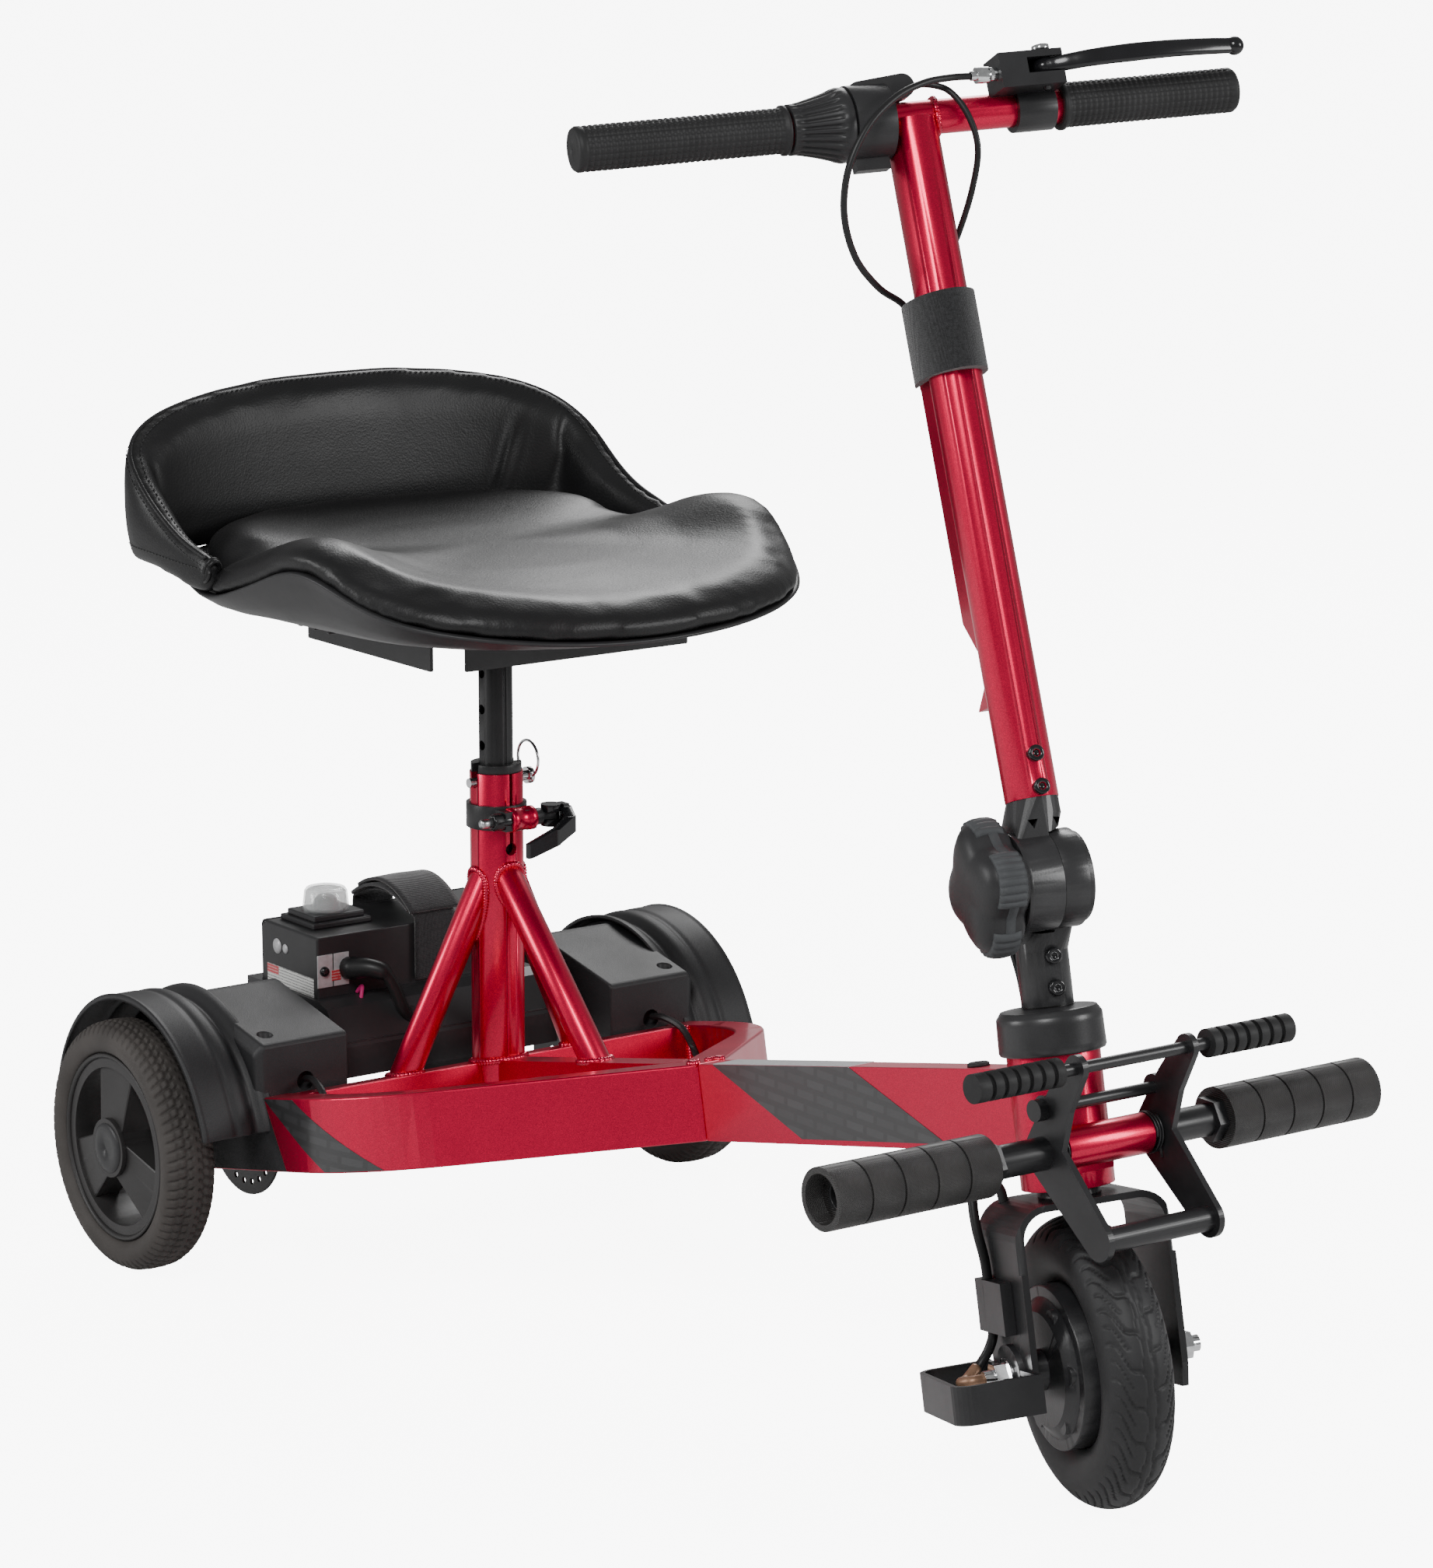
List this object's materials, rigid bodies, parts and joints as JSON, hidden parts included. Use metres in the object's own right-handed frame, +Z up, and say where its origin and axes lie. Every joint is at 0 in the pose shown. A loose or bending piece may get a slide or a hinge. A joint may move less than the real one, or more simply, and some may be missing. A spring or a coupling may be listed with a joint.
{
  "type": "folding mobility scooter",
  "caption": "Compact folding mobility scooter with a tilting tiller, hub-motor front wheel, contoured seat on a height-adjustable post, rear covers and foot pegs.",
  "frame": {"origin": "on the ground under the centre of the scooter's bounding box, with the front wheel turned to the rider's right as modelled", "axes": "+X forward along the spine, +Y to the rider's left, +Z up"},
  "size_m": [1.1415, 0.5918, 1.0315],
  "materials": {
    "red_paint": "metallic crimson, glossy",
    "black_paint": "satin black",
    "black_cast": "semi-gloss black cast parts",
    "textured_plastic": "fine-grained black moulding",
    "switch_plastic": "smoked gloss",
    "rubber": "black rubber",
    "tyre": "brown-grey tyre rubber",
    "motor": "black cast motor shell",
    "steel": "bright steel",
    "leatherette": "stitched black leatherette",
    "webbing": "woven black webbing",
    "cable": "black cable sheath"
  },
  "bodies": {
    "frame": {"spine_beam": "red_paint", "side_rails": "red_paint", "cross_beam": "red_paint", "seat_tube": "red_paint", "seat_braces": "red_paint", "head_tube": "red_paint", "footrest_tubes": "black_paint", "footrest_grips": "rubber", "frame_fasteners": "black_paint", "axle_bushes": "steel", "cover_right": "textured_plastic", "cover_left": "textured_plastic", "battery_tray": "textured_plastic", "battery_lead": "cable", "brake_calipers": "black_paint", "rear_harness": "cable", "seat_collar": "black_paint"},
    "right_wheel": {"rear_tyre_right": "tyre", "rear_wheel_right": "textured_plastic", "brake_disc_right": "steel"},
    "left_wheel": {"rear_tyre_left": "tyre", "rear_wheel_left": "textured_plastic", "brake_disc_left": "steel"},
    "seat": {"seat_post": "black_paint", "seat_bracket": "black_paint", "seat_pan": "textured_plastic", "seat_cushion": "leatherette", "backrest_pad": "leatherette"},
    "height_pin": {"seat_pin": "steel"},
    "clamp": {"clamp_lever": "black_paint"},
    "pedal": {"brake_pedal_frame": "black_paint", "pedal_rubbers": "rubber"},
    "battery": {"battery_box": "textured_plastic", "battery_strap": "webbing", "key_switch": "switch_plastic"},
    "steering": {"fork": "black_paint", "steering_column": "black_paint", "head_cap": "black_cast", "hinge_base": "black_cast", "fork_fasteners": "steel", "axle_guards": "black_paint", "motor_cable": "cable", "column_cables": "cable"},
    "front_wheel": {"front_tyre": "tyre", "hub_motor": "motor", "motor_cover": "textured_plastic"},
    "knob": {"hinge_knob": "textured_plastic"},
    "tiller": {"tiller_tube": "red_paint", "hinge_head": "black_cast", "handlebar": "red_paint", "grip_right": "rubber", "grip_left": "rubber", "throttle_housing": "textured_plastic", "lever_bracket": "black_paint", "brake_adjuster": "steel", "brake_cable": "cable", "throttle_cable": "cable", "tiller_strap": "webbing"},
    "throttle": {"throttle_ring": "textured_plastic"},
    "lever": {"brake_lever": "black_paint"}
  },
  "joints": [
    {"name": "steer", "type": "hinge", "parent": "frame", "child": "steering", "pos_m": [0.48294, 0, 0], "axis": [-0.1977, 0, 0.9803], "range_deg": [-22, 54]},
    {"name": "front_wheel_spin", "type": "hinge", "parent": "steering", "child": "front_wheel", "pos_m": [0.46703, -0.00156, 0.10666], "axis": [0.2686, 0.9617, 0.0542], "continuous": true},
    {"name": "right_wheel_spin", "type": "hinge", "parent": "frame", "child": "right_wheel", "pos_m": [-0.44076, -0.272, 0.104], "axis": [0, 1, 0], "continuous": true},
    {"name": "left_wheel_spin", "type": "hinge", "parent": "frame", "child": "left_wheel", "pos_m": [-0.44076, 0.272, 0.104], "axis": [0, 1, 0], "continuous": true},
    {"name": "tiller_fold", "type": "hinge", "parent": "steering", "child": "tiller", "pos_m": [0.41486, -0.00644, 0.45196], "axis": [0.2686, 0.9617, 0.0542], "range_deg": [-28, 22]},
    {"name": "knob_turn", "type": "hinge", "parent": "steering", "child": "knob", "pos_m": [0.40251, -0.05068, 0.44947], "axis": [0.2686, 0.9617, 0.0542], "range_deg": [0, 175]},
    {"name": "throttle_twist", "type": "hinge", "parent": "tiller", "child": "throttle", "pos_m": [0.19678, -0.0476, 0.97193], "axis": [0.2686, 0.9617, 0.0542], "range_deg": [-60, 0], "stiffness_Nm_per_rad": 0.3},
    {"name": "lever_pull", "type": "hinge", "parent": "tiller", "child": "lever", "pos_m": [0.25754, 0.10995, 1.01181], "axis": [-0.3552, 0.0466, 0.9336], "range_deg": [0, 9], "stiffness_Nm_per_rad": 2},
    {"name": "parking_brake", "type": "hinge", "parent": "frame", "child": "pedal", "pos_m": [0.47184, 0, 0.2709], "axis": [0, 1, 0], "range_deg": [0, 3.5], "stiffness_Nm_per_rad": 40},
    {"name": "seat_height", "type": "slide", "parent": "frame", "child": "seat", "axis": [0, 0, 1], "range_m": [0, 0.06]},
    {"name": "pin_pull", "type": "slide", "parent": "seat", "child": "height_pin", "axis": [0, 1, 0], "range_m": [0, 0.055]},
    {"name": "clamp_turn", "type": "hinge", "parent": "frame", "child": "clamp", "pos_m": [-0.27476, 0.033, 0.372], "axis": [0, 0, 1], "range_deg": [0, 100]},
    {"name": "battery_lift", "type": "slide", "parent": "frame", "child": "battery", "axis": [0, 0, 1], "range_m": [0, 0.12]}
  ]
}
